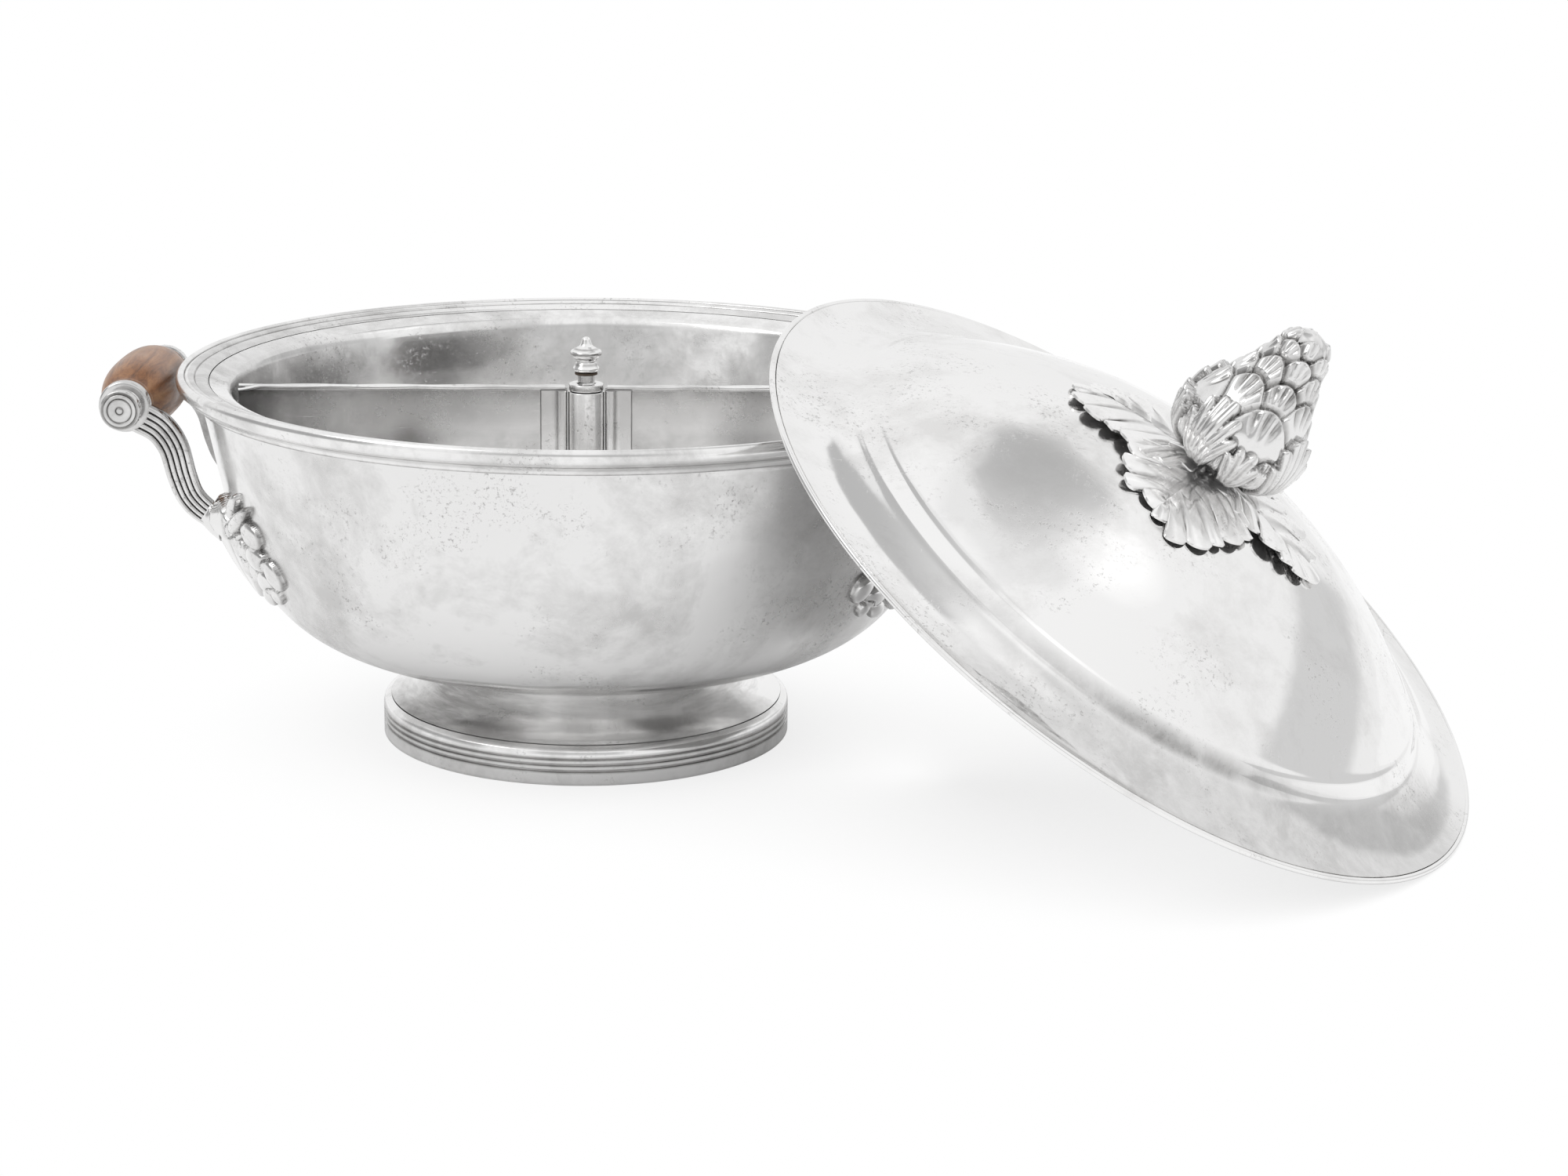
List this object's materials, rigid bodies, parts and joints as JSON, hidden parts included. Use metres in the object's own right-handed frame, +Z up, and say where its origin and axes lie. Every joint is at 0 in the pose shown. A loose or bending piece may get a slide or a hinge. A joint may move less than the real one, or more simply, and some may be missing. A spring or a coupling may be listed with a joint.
{
  "type": "divided warming dish",
  "caption": "Round footed hot-water warming dish with a divided liner, filler plug, wooden side grips and a domed cover leaning against it.",
  "frame": {"origin": "under the middle of the dish and its leaning cover, on the surface they stand on", "axes": "+X along the line through both grips' middles, towards the leaning cover; +Y away from the picture's viewer; +Z up"},
  "size_m": [0.4998, 0.3784, 0.1778],
  "materials": {
    "silver": "worn polished silver with cloudy tarnish",
    "bright_silver": "polished silver with fine scratches",
    "cast_silver": "chased silver, dark in its recesses",
    "wood": "turned and waxed, worn",
    "leather": "matt, dark with use"
  },
  "bodies": {
    "dish": {"outer_bowl": "silver", "rim_moulding": "silver", "liner": "silver", "foot_base_ring": "silver", "foot_spool": "silver", "filler_tube": "silver", "tube_collar": "silver", "left_divider_wing": "silver", "left_divider_rail": "silver", "front_left_divider_channel": "silver", "rear_left_divider_channel": "silver", "right_divider_wing": "silver", "right_divider_rail": "silver", "front_right_divider_channel": "silver", "rear_right_divider_channel": "silver", "left_tie_rod": "silver", "left_front_handle_arm": "silver", "left_front_handle_boss": "silver", "left_front_leaf_mount": "cast_silver", "left_rear_handle_arm": "silver", "left_rear_handle_boss": "silver", "left_rear_leaf_mount": "cast_silver", "right_tie_rod": "silver", "right_front_handle_arm": "silver", "right_front_handle_boss": "silver", "right_front_leaf_mount": "cast_silver", "right_rear_handle_arm": "silver", "right_rear_handle_boss": "silver", "right_rear_leaf_mount": "cast_silver"},
    "plug_washer": {"plug_washer": "leather"},
    "plug": {"plug_knob": "silver", "plug_shank": "cast_silver"},
    "left_grip": {"left_grip": "wood"},
    "right_grip": {"right_grip": "wood"},
    "cover": {"cover_shell": "bright_silver", "cover_rim_wire": "bright_silver", "cover_bezel": "silver", "finial_leaf_mount": "cast_silver", "finial_calyx": "cast_silver", "finial_pinecone": "cast_silver", "finial_stud": "silver", "finial_washer": "silver", "finial_nut": "silver"}
  },
  "joints": [
    {"name": "cover_lift", "type": "slide", "parent": "dish", "child": "cover", "axis": [0, 0, 1], "range_m": [0, 0.2]},
    {"name": "plug_rise", "type": "slide", "parent": "dish", "child": "plug_washer", "axis": [0, 0, 1], "range_m": [-0.0031, 0.0081]},
    {"name": "plug_turn", "type": "hinge", "parent": "plug_washer", "child": "plug", "pos_m": [-0.07157, 0.03916, 0.14], "axis": [0, 0, 1], "range_deg": [-560, 1460]},
    {"name": "left_grip_roll", "type": "hinge", "parent": "dish", "child": "left_grip", "pos_m": [-0.23607, 0.03916, 0.1274], "axis": [0, 1, 0], "continuous": true},
    {"name": "right_grip_roll", "type": "hinge", "parent": "dish", "child": "right_grip", "pos_m": [0.09293, 0.03916, 0.1274], "axis": [0, 1, 0], "continuous": true}
  ],
  "couplings": [
    {"joint": "plug_turn", "follows": "plug_rise", "rad_per_m": 3141.6}
  ]
}
